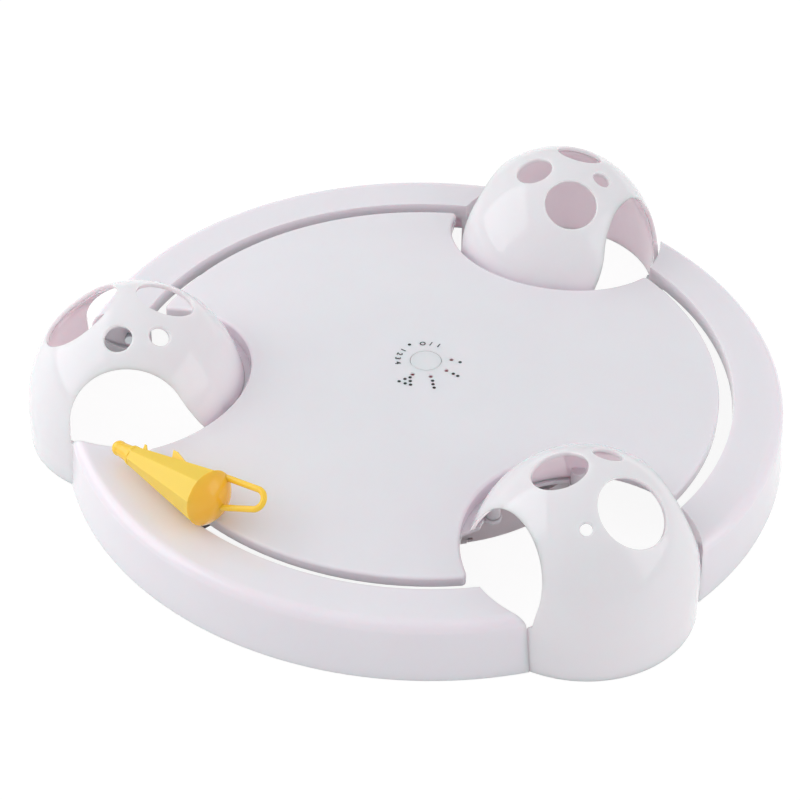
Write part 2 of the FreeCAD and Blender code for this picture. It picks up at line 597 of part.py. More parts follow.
def door():
    """Sliding door with two runners and an end that completes the drum's wall."""
    length = "bay_y + bay_len + bay_wall - 1 - door_gap * 2 + pan_r"
    plate = box("2 * door_half", length, "pan_floor", y="-pan_r + (" + length + ") / 2", z="pan_z")
    runners = [box("bay_half - door_half + 0.8", "bay_len * 0.9", "door_flange",
                   x=f"{side} * (bay_half + door_half"
                   " - 0.8 - 2 * door_gap) / 2", y="bay_y + bay_len * 0.5", z="pan_z + pan_floor + door_gap")
               for side in (-1, 1)]
    webs = [box("1.6", "bay_len * 0.9", "pan_floor", x=f"{side} * (door_half - 0.8)",
                y="bay_y + bay_len * 0.5",
                z="pan_z + 1") for side in (-1, 1)]
    grips = [box("door_half", "1", "0.5", y=f"bay_y + 6 + {3 * i}", z="pan_z") for i in range(4)]
    lip = box("2 * (bay_half - door_gap)", "pan_wall + 0.4", "door_flange + door_gap",
              y="-pan_r + pan_wall / 2 + 0.2",
              z="pan_z + pan_floor")
    slab = cut(fuse(plate, *webs, *runners, lip), *grips)
    part(common(slab, cylinder("pan_r - 0.05", "pan_top_z")), "battery_door")


def leaf_spring():
    """Bowed strip that stands on the contact plate and presses on a cell's flat end."""
    body = doc.addObject("PartDesign::Body", "leaf")
    reach = "bay_len - 2 * plate_contact - nub_len - cell_len - 0.1"
    inner = f"{reach} - leaf_t"
    points = [("0", "-leaf_half"), (reach, "-0.5"), (reach, "0.5"), ("0", "leaf_half"),
              ("0", "leaf_half - 1.5 * leaf_t"), (inner, "0.2"), (inner, "-0.2"),
              ("0", "1.5 * leaf_t - leaf_half")]
    strip = body.newObject("PartDesign::Pad", "strip")
    strip.Profile = section(body, points, "YZ_Plane")
    strip.Midplane = True
    bind(strip, Length="leaf_width")
    return body


def cells():
    """Row of cells with a contact spring at one end and a plate at the other."""
    count = int(val("cell_count"))
    z = "pan_z + pan_floor + door_gap + cell_r + 0.1"
    bodies = []
    springs = []
    plates = []
    for i in range(count):
        x = f"({i} - ({count} - 1) / 2) * cell_pitch"
        start = "bay_y + bay_len - plate_contact - nub_len - cell_len"
        can = at(cylinder("cell_r", "cell_len"), x=x, y=f"{start} + cell_len", z=z, turn="90", axis=(1, 0, 0))
        nub = at(cylinder("nub_r", "nub_len + 0.5"), x=x, y=f"{start} + cell_len + nub_len", z=z, turn="90",
                 axis=(1, 0, 0))
        bodies.append(fuse(can, nub))
        springs.append(at(leaf_spring(), x=x, y="bay_y + plate_contact", z=z))
        for y in ("bay_y + plate_contact / 2", "bay_y + bay_len - plate_contact / 2"):
            plates.append(box("cell_pitch - 4.2", "plate_contact", "2 * cell_r - 2", x=x, y=y,
                              z=f"{z} - cell_r + 1"))
    part(group(*bodies), "battery_cells")
    part(group(*springs), "contact_springs")
    part(group(*plates), "contact_plates")


pan()
door()
cells()
feet = [cylinder("foot_r - 0.05", "pan_z + foot_seat", **polar("foot_circle", turn)) for turn in FOOT_TURNS]
feet.append(cylinder("foot_r - 0.05", "pan_z + foot_seat"))
part(group(*feet), "rubber_feet")
part(group(*[screw("pan_z + pan_screw_sink", "pan_top_z - 0.3",
                   **polar("pan_screw_circle", t)) for t in PAN_SCREW_TURNS]),
     "pan_screws")


# ---------------------------------------------------------------- chassis and turret
def chassis():
    """Plate that closes the drum, with the turret that carries the deck."""
    plate_z = "pan_top_z - plate_t"
    plate = cylinder("pan_r - pan_wall - plate_gap", "plate_t", z=plate_z)
    tower = turned([("turret_r - turret_wall", plate_z), ("turret_r", plate_z), ("turret_r", "turret_top_z"),
                    ("9", "turret_top_z"), ("9", "turret_top_z - turret_flange"),
                    ("turret_r - turret_wall", "turret_top_z - turret_flange")])
    bracket_bosses = [cylinder("boss_r", "7", z="bracket_z + bracket_t",
                               x=f"{side} * bracket_screw_x", y="motor_y") for side in (-1, 1)]
    collars = [cylinder("boss_r", "plate_t + 1.2", z=plate_z, **polar("pan_screw_circle", t))
               for t in PAN_SCREW_TURNS]
    track = cut(cylinder("track_r", "drive_ring_z - pan_top_z - 0.2", z="pan_top_z"),
                cylinder("track_r - 2.5", "5", z="pan_top_z - 1"))
    solid = fuse(plate, tower, *bracket_bosses, track)
    well = cylinder("turret_r - turret_wall", "20", z="pan_top_z - plate_t - 1")
    tools = [cut(well, *[cylinder("boss_r", "pan_top_z", x=f"{side} * bracket_screw_x", y="motor_y")
                         for side in (-1, 1)])]
    tools.append(cylinder("pinion_tip_r + 0.4", "20", z="pan_top_z - plate_t - 1",
                          **polar("gear_circle", PIN_TURN)))
    for turn in DECK_SCREW_TURNS:
        tools.append(cylinder("screw_r + screw_play", "10", z="turret_top_z - 5",
                              **polar("deck_screw_circle", turn)))
    for turn in PAN_SCREW_TURNS:
        tools.append(cylinder("screw_r", "plate_t", z=f"{plate_z} - 0.1", **polar("pan_screw_circle", turn)))
    for side in (-1, 1):
        tools.append(cylinder("screw_r", "6", z="bracket_z + bracket_t - 1", x=f"{side} * bracket_screw_x",
                              y="motor_y"))
    solid = fuse(solid, *[common(c, cylinder("pan_r - pan_wall - plate_gap", "pan_top_z")) for c in collars])
    return part(cut(solid, *tools), "chassis")


chassis()
part(group(*[screw("turret_top_z - turret_flange - screw_head_t", "turret_top_z + 4",
                   **polar("deck_screw_circle", t)) for t in DECK_SCREW_TURNS]), "deck_screws")


def motor():
    """Small motor that stands on its bracket with the shaft down through it."""
    plate = box("2 * (bracket_screw_x + boss_r)", "2 * motor_r + 3", "bracket_t", y="motor_y", z="bracket_z")
    holes = [cylinder("screw_r + screw_play", "10", z="bracket_z - 5", x=f"{side} * bracket_screw_x",
                      y="motor_y")
             for side in (-1, 1)]
    part(cut(plate, cylinder("3.2", "10", z="bracket_z - 5", y="motor_y"), *holes), "motor_bracket")
    can_z = "bracket_z + bracket_t"
    flats = box("2 * motor_r + 2", "2 * motor_flat", "motor_can_h + motor_cap_h + 5", y="motor_y", z=can_z)
    can = common(cylinder("motor_r", "motor_can_h", y="motor_y", z=can_z), flats)
    boss = cylinder("3", "bracket_t - 0.4", y="motor_y", z="bracket_z + 0.4")
    bore = cylinder("motor_shaft_r + axle_gap", "bracket_t + 12", y="motor_y", z="bracket_z - 1")
    part(cut(fuse(can, boss), bore), "motor_can")
    cap = common(cylinder("motor_r - 0.5", "motor_cap_h", y="motor_y", z=f"{can_z} + motor_can_h"), flats)
    tabs = [box("2", "0.6", "2.2", x=f"{side} * 4.5", y="motor_y",
                z=f"{can_z} + motor_can_h + motor_cap_h - 0.2")
            for side in (-1, 1)]
    part(fuse(cap, *tabs), "motor_end_cap")
    part(cylinder("motor_shaft_r", f"{can_z} + 9 - motor_pinion_z + 0.6", y="motor_y",
                  z="motor_pinion_z - 0.6"),
         "motor_shaft")
    part(group(*[screw("bracket_z - screw_head_t", "bracket_z + bracket_t + 5", f"{side} * bracket_screw_x",
                       "motor_y") for side in (-1, 1)]), "bracket_screws")


motor()


# ---------------------------------------------------------------- gears
def tooth_flank(teeth, module, bottom, top, thin):
    """Points up one flank of an involute tooth centred on X, as (radius, half angle)."""
    base = teeth * module / 2 * math.cos(math.radians(20))
    pitch = teeth * module / 2
    lean = math.tan(math.radians(20)) - math.radians(20)
    half = math.pi / (2 * teeth) - thin / (2 * pitch)
    points = []
    steps = 4
    for i in range(steps + 1):
        radius = bottom + (top - bottom) * i / steps
        roll = math.acos(min(1.0, base / max(radius, base)))
        points.append((radius, half + lean - (math.tan(roll) - roll)))
    return points


def gear_face(teeth, module, bottom, top, thin, phase=0.0):
    """Flat face of a spur gear about Z with one tooth centred on the angle phase."""
    flank = tooth_flank(teeth, module, bottom, top, thin)
    corners = []
    for i in range(teeth):
        middle = phase + 2 * math.pi * i / teeth
        for radius, half in flank:
            corners.append(FreeCAD.Vector(radius * math.cos(middle - half), radius * math.sin(middle - half),
                                          0))
        for radius, half in reversed(flank):
            corners.append(FreeCAD.Vector(radius * math.cos(middle + half), radius * math.sin(middle + half),
                                          0))
    return Part.Face(Part.makePolygon(corners + corners[:1]))


def toothed(name, face, height, x, y, z):
    obj = doc.addObject("Part::Feature", name)
    obj.Shape = face.extrude(FreeCAD.Vector(0, 0, val(height)))
    return at(obj, x=x, y=y, z=z)


def spur(name, teeth, module, height, x, y, z, phase):
    """External spur gear with standard teeth."""
    count = int(val(teeth))
    size = val(module)
    pitch = count * size / 2
    face = gear_face(count, size, pitch - 1.2 * size, pitch + 0.95 * size, val("gear_backlash"), phase)
    return toothed(name, face, height, x, y, z)


gear_spot = polar("gear_circle", PIN_TURN)
motor_count = int(val("motor_pinion_teeth"))
# The motor lies from the gear's axle towards the centre, at -90 degrees, and the drive
# ring's teeth lie on the far side, at +90 degrees: a gap of one faces a tooth of the other.
wheel_phase = math.radians(-90)
motor_phase = math.radians(90) + math.pi / motor_count
pinion_phase = math.radians(90)
wheel = spur("wheel", "wheel_teeth", "wheel_module", "wheel_t", gear_spot["x"], gear_spot["y"], "wheel_z",
             wheel_phase)
pinion = spur("pinion", "drive_pinion_teeth", "ring_gear_module", "drive_teeth_t - 0.4", gear_spot["x"],
              gear_spot["y"], "drive_ring_z", pinion_phase)
hub = cylinder("4.6", "drive_ring_z - wheel_z - wheel_t + 0.4", z="wheel_z + wheel_t - 0.2", **gear_spot)
gear_bore = cylinder("gear_axle_r + axle_gap", "40", z="0", **gear_spot)
part(cut(fuse(wheel, hub, pinion), gear_bore), "reduction_gear")
part(cylinder("gear_axle_r", "drive_ring_z + drive_teeth_t - 0.6 - pan_z - pan_floor - 0.5",
              z="pan_z + pan_floor + 0.5", **gear_spot), "gear_axle")
motor_gear = spur("motor_gear", "motor_pinion_teeth", "wheel_module", "motor_pinion_t", "0", "motor_y",
                  "motor_pinion_z", motor_phase)
part(cut(motor_gear, cylinder("motor_shaft_r", "20", y="motor_y")), "motor_pinion")


# ---------------------------------------------------------------- drive ring, arm and lure
def drive_ring():
    """Inverted cup: internal teeth on its rim, a web, and a hub that runs on the turret."""
    count = int(val("ring_gear_teeth"))
    size = val("ring_gear_module")
    pitch = count * size / 2
    gaps = gear_face(count, size, pitch - 0.9 * size, pitch + 1.2 * size, -val("gear_backlash"),
                     math.radians(90))
    rim_r = f"ring_gear_teeth * ring_gear_module / 2 + 1.2 * ring_gear_module + drive_rim"
    blank = cylinder(rim_r, "drive_teeth_t", z="drive_ring_z")
    teeth = cut(blank, toothed("gaps", gaps, "drive_teeth_t + 2", "0", "0", "drive_ring_z - 1"))
    top = "drive_ring_z + drive_teeth_t"
    cover = turned([("turret_r + run_gap", top), (rim_r, top), (rim_r, f"{top} + drive_web_t"),
                    ("turret_r + run_gap + drive_hub_wall", f"{top} + drive_web_t"),
                    ("turret_r + run_gap + drive_hub_wall", f"{top} + drive_web_t + drive_hub_rise"),
                    ("turret_r + run_gap", f"{top} + drive_web_t + drive_hub_rise")])
    part(fuse(teeth, cover), "drive_ring")
    part(turned([("turret_r", f"{top} + drive_web_t + drive_hub_rise + retainer_gap"),
                 ("turret_r + 4", f"{top} + drive_web_t + drive_hub_rise + retainer_gap"),
                 ("turret_r + 4", f"{top} + drive_web_t + drive_hub_rise + retainer_gap + retainer_t"),
                 ("turret_r", f"{top} + drive_web_t + drive_hub_rise + retainer_gap + retainer_t")]),
         "drive_ring_retainer")
    return rim_r


def arm(rim_r):
    """Ribbed channel arm with the stem that rises through the slot."""
    body = doc.addObject("PartDesign::Body", "arm")
    root = f"({rim_r}) - 1"
    outline = section(body, [(root, "-arm_half"), ("arm_tip_r", "-arm_tip_half"),
                             ("arm_tip_r", "arm_tip_half"),
                             (root, "arm_half")], "XY_Plane")
    pad = body.newObject("PartDesign::Pad", "pad")
    pad.Profile = outline
    bind(pad, Length="arm_t")
    at(body, z="arm_z")
    hollow = box("arm_tip_r - 8 - (" + rim_r + ") - 6", "2 * arm_tip_half - 2.8", "arm_t - 1.6",
                 x="((" + rim_r + ") + arm_tip_r) / 2 - 1", z="arm_z - 0.01")
    round_root = cylinder(f"({rim_r}) - 0.02", "arm_t + 2", z="arm_z - 1")
    stem = box("2 * stem_half_x", "2 * stem_half_y", "stem_top_z - arm_z - 1", x="stem_circle", z="arm_z + 1")
    solid = cut(fuse(cut(body, hollow), stem, tenon("0")), round_root)
    part(at(group(solid), turn="arm_azimuth"), "lure_arm")


def tenon(play):
    """Tip of the stem, grown by play, which plugs into the lure."""
    return box(f"2 * stem_half_x - 1 + 2 * ({play})", f"stem_half_y + 2 * ({play})",
               f"tenon_h + 1 + ({play})",
               x="stem_circle", z="stem_top_z - 1")


def facets(*rings):
    """Solid with eight flat sides through rings given as (radius, distance along -Y)."""
    sides = 8
    wires = []
    for radius, y in rings:
        corners = [FreeCAD.Vector(radius * math.cos(math.pi * (2 * i + 1) / sides), -y,
                                  radius * math.sin(math.pi * (2 * i + 1) / sides)) for i in range(sides)]
        wires.append(Part.makePolygon(corners + corners[:1]))
    solid = doc.addObject("Part::Feature", "facets")
    solid.Shape = Part.makeLoft(wires, True, True)
    return solid


def placed_lure(shape):
    """Tip the lure's own frame down towards its tip and set it over the slot."""
    tipped = at(group(shape), turn="lure_tip_down", axis=(1, 0, 0))
    return at(group(tipped), turn="lure_turn", x="lure_circle * cos(lure_azimuth)",
              y="lure_circle * sin(lure_azimuth)", z="lure_z")


def fin(start, length, height):
    """Thin fin that leans towards the tip, on the facet between the lure's top and its side."""
    end = f"({start} + {length})"
    skin = [f"cos(22.5) * (lure_butt_r - (lure_butt_r - lure_neck_r) * {y} / (lure_len - lure_neck_len))"
            for y in (start, end)]
    body = doc.addObject("PartDesign::Body", "fin")
    plate = body.newObject("PartDesign::Pad", "plate")
    plate.Profile = section(body, [(f"-{start}", f"{skin[0]} - lure_wall / 2"),
                                   (f"-{end}", f"{skin[1]} - lure_wall / 2"),
                                   (f"-{end} - 0.15 * {length}", f"{skin[1]} + {height}"),
                                   (f"-{end} + 0.1 * {length}", f"{skin[1]} + {height}")], "YZ_Plane")
    plate.Midplane = True
    bind(plate, Length="fin_t")
    return at(body, turn="-45", axis=(0, 1, 0))


def lure():
    """Hollow faceted cone lying along the slot: collar, snout and bead at its tip."""
    neck = val("lure_len - lure_neck_len")
    butt, collar, thin = val("lure_butt_r"), val("lure_neck_r"), val("lure_wall")
    outside = facets((butt, 0), (collar, neck))
    inside = facets((butt - thin, -0.01), (collar - thin, neck - 1))
    band = at(cylinder("lure_neck_r", "1.6"), y="-lure_len + lure_neck_len + 0.8", turn="90", axis=(1, 0, 0))
    snout = at(cone("lure_neck_r - 0.7", "lure_tip_r", "lure_neck_len"), y="-lure_len + lure_neck_len",
               turn="90", axis=(1, 0, 0))
    bead = doc.addObject("Part::Sphere", "bead")
    bind(bead, Radius="lure_tip_r + 0.4")
    at(bead, y="-lure_len")
    shell = placed_lure(cut(fuse(outside, band, snout, bead, fin("23", "11", "4"), fin("52", "3", "2.6")),
                            inside))
    part(cut(shell, at(group(tenon("axle_gap")), turn="arm_azimuth")), "lure_body")


def loop_rod(play):
    """Bent rod of two legs and a round bow, in the lure's frame, grown by play."""
    reach, half, radius, sunk = (val(name) for name in ("loop_reach", "loop_root", "loop_r", "loop_sunk"))
    # The legs close in towards the bow and run into its arc without a kink.
    meet = math.atan2(reach, half) + math.asin(radius / math.hypot(reach, half))
    bend = FreeCAD.Vector(0, reach + radius * math.cos(meet), radius * math.sin(meet))
    along = (bend - FreeCAD.Vector(0, 0, half)).normalize()
    start = FreeCAD.Vector(0, 0, half) - along * (sunk + play)
    mirror = [FreeCAD.Vector(0, p.y, -p.z) for p in (bend, start)]
    bow = Part.Arc(bend, FreeCAD.Vector(0, reach + radius, 0), mirror[0])
    rail = Part.Wire([Part.LineSegment(start, bend).toShape(), bow.toShape(),
                      Part.LineSegment(*mirror).toShape()])
    rod = Part.Wire(Part.makeCircle(val("loop_tube") + play, start, along))
    solid = doc.addObject("Part::Feature", "loop_rod")
    solid.Shape = rail.makePipeShell([rod], True, True)
    leaning = at(group(at(solid, turn="loop_lift", axis=(1, 0, 0))), turn="loop_roll", axis=(0, 1, 0))
    return at(group(leaning), turn="loop_turn", x="loop_x", y="loop_y", z="loop_z")


def lure_end():
    """Bulging end cap with its plug, and the loop."""
    ball_r = "(lure_butt_r ^ 2 + lure_cap_bulge ^ 2) / (2 * lure_cap_bulge)"
    ball = doc.addObject("Part::Sphere", "ball")
    bind(ball, Radius=ball_r)
    at(ball, y=f"lure_cap_bulge - ({ball_r})")
    front = common(ball, box("4 * lure_butt_r", "20", "4 * lure_butt_r", y="10.02", z="-2 * lure_butt_r"))
    plug = at(cylinder("lure_butt_r * cos(22.5) - lure_wall - 0.3", "2.5"), y="0.1", turn="90",
              axis=(1, 0, 0))
    part(placed_lure(cut(fuse(front, plug), loop_rod(val("axle_gap")))), "lure_cap")
    part(placed_lure(loop_rod(0.0)), "lure_loop")


rim_radius = drive_ring()
arm(rim_radius)
lure()
lure_end()


# ---------------------------------------------------------------- button, board and lamps
def control():
    """Button over its switch, and the board with the lamps under the deck's crown."""
    top = "deck_edge_z + deck_crown"
    rest = f"{top} - deck_wall - 1.6"
    face = cylinder("button_r", "button_t", z=f"{top} - button_t")
    foot = f"{rest} - 0.8"
    skirt = cut(cylinder("button_r", f"{top} - ({foot}) - 0.5", z=foot),
                cylinder("button_r - 1.2", "20", z=f"{foot} - 1"))
    flange = cut(cylinder("button_r + button_gap + 0.9", "0.6", z=foot),
                 cylinder("button_r - 1.2", "4", z=f"{foot} - 1"))
    floor = "board_z + board_t"
    nub = cylinder("plunger_r + 0.4", f"{top} - ({floor}) - switch_h - button_travel - 0.5",
                   z=f"{floor} + switch_h + button_travel")
    face = rounded(face, "0.3", lambda e: e.BoundBox.ZMin > val(top) - 0.01)
    part(fuse(face, skirt, flange, nub), "power_button")
    part(cylinder("plunger_r", "switch_h - 0.4", z=f"{floor} + 0.4 + button_travel"), "switch_plunger")
    case = box("2 * switch_half", "2 * switch_half", "switch_h", z=floor)
    part(cut(case, cylinder("plunger_r + run_gap", "4", z=f"{floor} + 0.3")), "tact_switch")
    board = cut(cylinder("board_r", "board_t", z="board_z"),
                *[cylinder("boss_r + 0.5", "4", z="board_z - 1", **polar("deck_screw_circle", t))
                  for t in DECK_SCREW_TURNS],
                *[cylinder("small_screw_r + 0.2", "4", z="board_z - 1", **polar("board_r - 3", t))
                  for t in BOARD_SCREW_TURNS])
    part(board, "control_board")
    lamps = [fuse(box("3", "3", "1.4", z=floor, **polar("led_circle", t)),
                  cylinder("led_r", f"{top} - ({floor}) - 0.8", z=floor, **polar("led_circle", t)))
             for t in LED_TURNS]
    part(group(*lamps), "indicator_leds")
    fixings = []
    for turn in BOARD_SCREW_TURNS:
        spot = polar("board_r - 3", turn)
        fixings.append(fuse(cylinder("small_head_r", "small_head_t", z="board_z - small_head_t", **spot),
                            cylinder("small_screw_r", "board_t + 2.4", z="board_z", **spot)))
    part(group(*fixings), "board_screws")


control()


# ---------------------------------------------------------------- screws of domes and ring
dome_screws = []
ring_screws = []
for azimuth in DOME_AZIMUTHS.values():
    for side in (-1, 1):
        spot = polar("dome_screw_circle", f"180 + {side} * dome_screw_turn")
        upright_screw = screw("dome_foot_z - ledge_wall - screw_head_t", "dome_foot_z + 6", **spot)
        head = doc.addObject("Part::Cylinder", "head")
        bind(head, Radius="screw_head_r", Height="screw_head_t")
        radial(head, side, "dome_r - dome_wall - screw_head_t - 0.3")
        shank = doc.addObject("Part::Cylinder", "shank")
        bind(shank, Radius="screw_r", Height="11")
        radial(shank, side, "dome_r - dome_wall - 0.31")
        centre = polar("dome_circle", f"{azimuth}")
        dome_screws.append(at(group(upright_screw), turn=f"{azimuth}", **centre))
        ring_screws.append(at(group(fuse(head, shank)), turn=f"{azimuth}", **centre))
part(group(*dome_screws), "dome_screws")
part(group(*ring_screws), "ring_screws")


# ---------------------------------------------------------------- build and write
def write_parts():
    doc.recompute()
    for obj in doc.Objects:
        if "Invalid" in obj.State or "Error" in obj.State:
            raise RuntimeError(f"{obj.Name} failed: {obj.State}")
    os.makedirs("parts", exist_ok=True)
    for obj in PARTS:
        shape = obj.Shape
        if shape.isNull() or not shape.isValid() or not shape.Solids:
            raise RuntimeError(f"{obj.Label} has no valid solid")
        shape.exportStep(f"parts/{obj.Label}.step")
        print(f"{obj.Label}: {len(shape.Solids)} solids, {shape.Volume / 1000.0:.2f} cm3")


write_parts()
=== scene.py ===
"""Looks of a motorised chase toy for cats: a lure circles in a slot between a crowned deck
and a ring in three segments, and runs through three pierced domes. Metres, +Z up."""

import math

import bmesh
import bpy
from bpy.props import FloatProperty, FloatVectorProperty, PointerProperty
from mathutils import Matrix, Vector


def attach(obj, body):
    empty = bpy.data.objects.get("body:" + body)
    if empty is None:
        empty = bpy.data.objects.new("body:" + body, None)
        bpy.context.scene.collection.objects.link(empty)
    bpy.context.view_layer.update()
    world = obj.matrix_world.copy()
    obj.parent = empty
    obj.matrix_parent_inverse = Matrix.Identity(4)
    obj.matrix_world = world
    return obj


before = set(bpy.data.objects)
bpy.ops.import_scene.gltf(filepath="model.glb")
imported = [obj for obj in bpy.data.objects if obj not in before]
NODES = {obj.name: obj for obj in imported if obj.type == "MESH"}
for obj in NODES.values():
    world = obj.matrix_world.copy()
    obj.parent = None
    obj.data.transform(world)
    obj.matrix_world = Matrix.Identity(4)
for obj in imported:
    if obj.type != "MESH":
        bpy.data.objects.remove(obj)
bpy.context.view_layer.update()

bl_info = {
    "name": "Cat Chase Toy",
    "version": (1, 0, 0),
    "blender": (4, 5, 0),
    "location": "View3D > Sidebar > Chase Toy",
    "description": "Dresses a motorised chase toy for cats",
    "category": "Object",
}

MM = 0.001

# Moulded plastics.
DRIFT_PER_METRE = 22.0  # swells of colour and gloss, one about every 45 mm
GLOSS_DRIFT = 0.15      # share of the roughness by which the gloss drifts either way
SKIN_DEPTH_MM = 0.1     # height of the ripple in the skin at full strength

# Metals. Real turned or rolled lines lie closer; these are as coarse as they need to show.
LINE_GAP_MM = 0.1
LINE_LENGTH_MM = 1.8
METAL_DULLEST = 1.4     # roughness on and between the lines, as shares of the metal's own
METAL_BRIGHTEST = 0.7

# Printed marks. Places of the dots in millimetres, one list for each lamp.
DOTS = (
    [(18.9, -1.1)],
    [(15.0, -11.5), (17.4, -13.3)],
    [(3.6, -17.8), (3.8, -20.8), (4.4, -23.7)],
    [(-8.7, -15.0), (-11.5, -16.4), (-14.7, -18.4), (-8.6, -18.2), (-11.4, -20.2),
     (-8.5, -21.3)],
)
DOT_SIDES = 24
# Figures of the arc round the button with their angles in degrees. They are read from behind
# the toy, and one more dot parts the switch's figures from those of the speeds.
FIGURES = (("I", 62), ("/", 79), ("O", 96), ("1", 143), ("2", 158), ("3", 173), ("4", 188))
ARC_DOT = 122
CAPITAL = 0.72          # height of a capital as a share of the font's size
STROKE_GAIN = 0.035     # spread of the ink round each stroke, as a share of the height
CURVE_STEPS = 4

# Stage, in metres. Soft boxes by width and height, and by place.
KEY_SIZE, KEY_PLACE = (1.3, 1.1), (-1.05, 0.15, 0.66)
FILL_SIZE, FILL_PLACE = (0.9, 0.7), (1.05, -0.35, 0.5)
FLOOR_REACH = 4.0       # from the toy's origin to the floor's edges
FLOOR_SHADE = 0.14      # the part of the floor's white that a shadow takes away
FLOOR_WHITE = 0.91      # the part that stays
FLOOR_PAPER = 0.82      # reflectance of the paper that lights the toy from below
SENSOR_MM = 36.0


def linear(hex_colour):
    """Linear RGBA of an sRGB hex colour."""
    channels = [int(hex_colour[i:i + 2], 16) / 255.0 for i in (1, 3, 5)]
    return tuple(c / 12.92 if c <= 0.04045 else ((c + 0.055) / 1.055) ** 2.4
                 for c in channels) + (1.0,)


def colour(name, hex_colour, description):
    """Colour property with a default given as sRGB hex."""
    return FloatVectorProperty(name=name, description=description, subtype="COLOR", size=4,
                               min=0.0, max=1.0, default=linear(hex_colour))


def length(name, millimetres, description):
    """Length property with a default in millimetres."""
    return FloatProperty(name=name, description=description, subtype="DISTANCE",
                         unit="LENGTH", default=millimetres * MM)


def angle(name, degrees, description):
    """Angle property with a default in degrees."""
    return FloatProperty(name=name, description=description, subtype="ANGLE",
                         unit="ROTATION", default=math.radians(degrees))


# ------------------------------------------------------------------ settings
class ToyFinish(bpy.types.PropertyGroup):
    """Colours of the plastics and metals"""
    shell: colour("Shell", "#F4E9F2", "Glossy white plastic of the deck and ring")
    dome: colour("Domes", "#F6E8F0", "Glossy white plastic of the domes' thin walls")
    # The pink tinge of this white is painted shade: the pinkish light in the shaded gaps and
    # insides.
    inner: colour("Inner plastic", "#EBE0E3", "Plain white plastic of the drum and its plate")
    yellow: colour("Lure", "#FFCE40", "Yellow plastic of the lure and its loop")
    orange: colour("Lure cap", "#FFBF38", "Deeper yellow of the lure's end cap")
    # The arm's dark brown is painted shade: the deep shade under the deck and the lure.
    arm: colour("Arm", "#3B2A24", "Dark brown plastic of the arm")
    gear: colour("Gears", "#E4DFD0", "Natural acetal of the gears and the drive ring")
    lamp: colour("Lamps", "#7A2634", "Red lens of the lamps, unlit")
    ink: colour("Print", "#2B2728", "Dark printing ink")
    rubber: colour("Feet", "#55565A", "Grey rubber of the feet")
    board: colour("Board", "#1F5C34", "Green solder mask")
    phenolic: colour("Switch", "#1B1B1C", "Black plastic of the switch and the motor's cap")
    sleeve: colour("Cells", "#3A4248", "Plain sleeve of the cells")
    can: colour("Motor can", "#BFC0C2", "Plated steel of the motor can")
    plate: colour("Motor plate", "#B9BDC0", "Zinc-plated steel of the motor's plate")
    steel: colour("Shafts", "#C4C6C8", "Ground steel of the shaft and the axle")
    brass: colour("Pinion", "#D8B46A", "Brass of the motor's pinion")
    nickel: colour("Contacts", "#C9C7C0", "Nickel-plated spring steel of the contacts")
    screw: colour("Screws", "#BFC4C8", "Zinc-plated steel of the screws")
    orange_peel: length("Skin ripple", 0.9, "Size of the faint ripple in moulded gloss")


class ToyMarks(bpy.types.PropertyGroup):
    """Sizes of the printed marks and of the crown they lie on"""
    crown_edge: length("Crown edge radius", 162.5, "Radius of the deck's crowned top")
    crown_edge_z: length("Crown edge height", 36.0, "Height of the deck's top at its edge")
    crown_rise: length("Crown rise", 12.5, "Rise of the deck's top from edge to centre")
    ink_film: length("Ink film", 0.04, "Thickness of the printed ink")
    dot_radius: length("Dot", 0.95, "Radius of a printed dot")
    figure_height: length("Figure height", 3.1, "Height of the printed figures")
    figure_circle: length("Figure circle", 15.4, "Radius of the arc of printed figures")


class ToyStage(bpy.types.PropertyGroup):
    """Camera, floor and light"""
    distance: length("Camera distance", 1419.15, "Distance from the toy's origin")
    azimuth: angle("Azimuth", -91.08, "Bearing of the camera about the toy")
    elevation: angle("Elevation", 39.53, "Height angle of the camera")
    yaw: angle("Yaw", -0.57, "Aim to the right of the origin")
    pitch: angle("Pitch", 0.63, "Aim above the origin")
    roll: angle("Roll", 1.13, "Turn about the line of sight")
    lens: FloatProperty(name="Lens", description="Focal length in millimetres",
                        unit="CAMERA", default=113.22)
    floor_gap: length("Floor gap", 0.1, "Gap that keeps the floor clear of the feet")
    key: FloatProperty(name="Key", description="Power of the large soft box in watts",
                       unit="POWER", default=6.2)
    fill: FloatProperty(name="Fill", description="Power of the side soft box in watts",
                        unit="POWER", default=2.2)
    sky: FloatProperty(name="Sky", description="Strength of the soft light from all round",
                       default=0.74)


# ------------------------------------------------------------------ materials
def add(tree, kind, inputs=(), **settings):
    """Add one shader node with its settings; inputs are pairs of socket and value or link."""
    made = tree.nodes.new(kind)
    for key, value in settings.items():
        setattr(made, key, value)
    for socket, value in inputs:
        target = made.inputs[socket]
        if isinstance(value, bpy.types.NodeSocket):
            tree.links.new(value, target)
        else:
            target.default_value = value
    return made


def material(name):
    """New material with its tree and nothing in it but the output."""
    made = bpy.data.materials.new(name)
    made.use_nodes = True
    made.node_tree.nodes.clear()
    return made, made.node_tree, made.node_tree.nodes.new("ShaderNodeOutputMaterial")


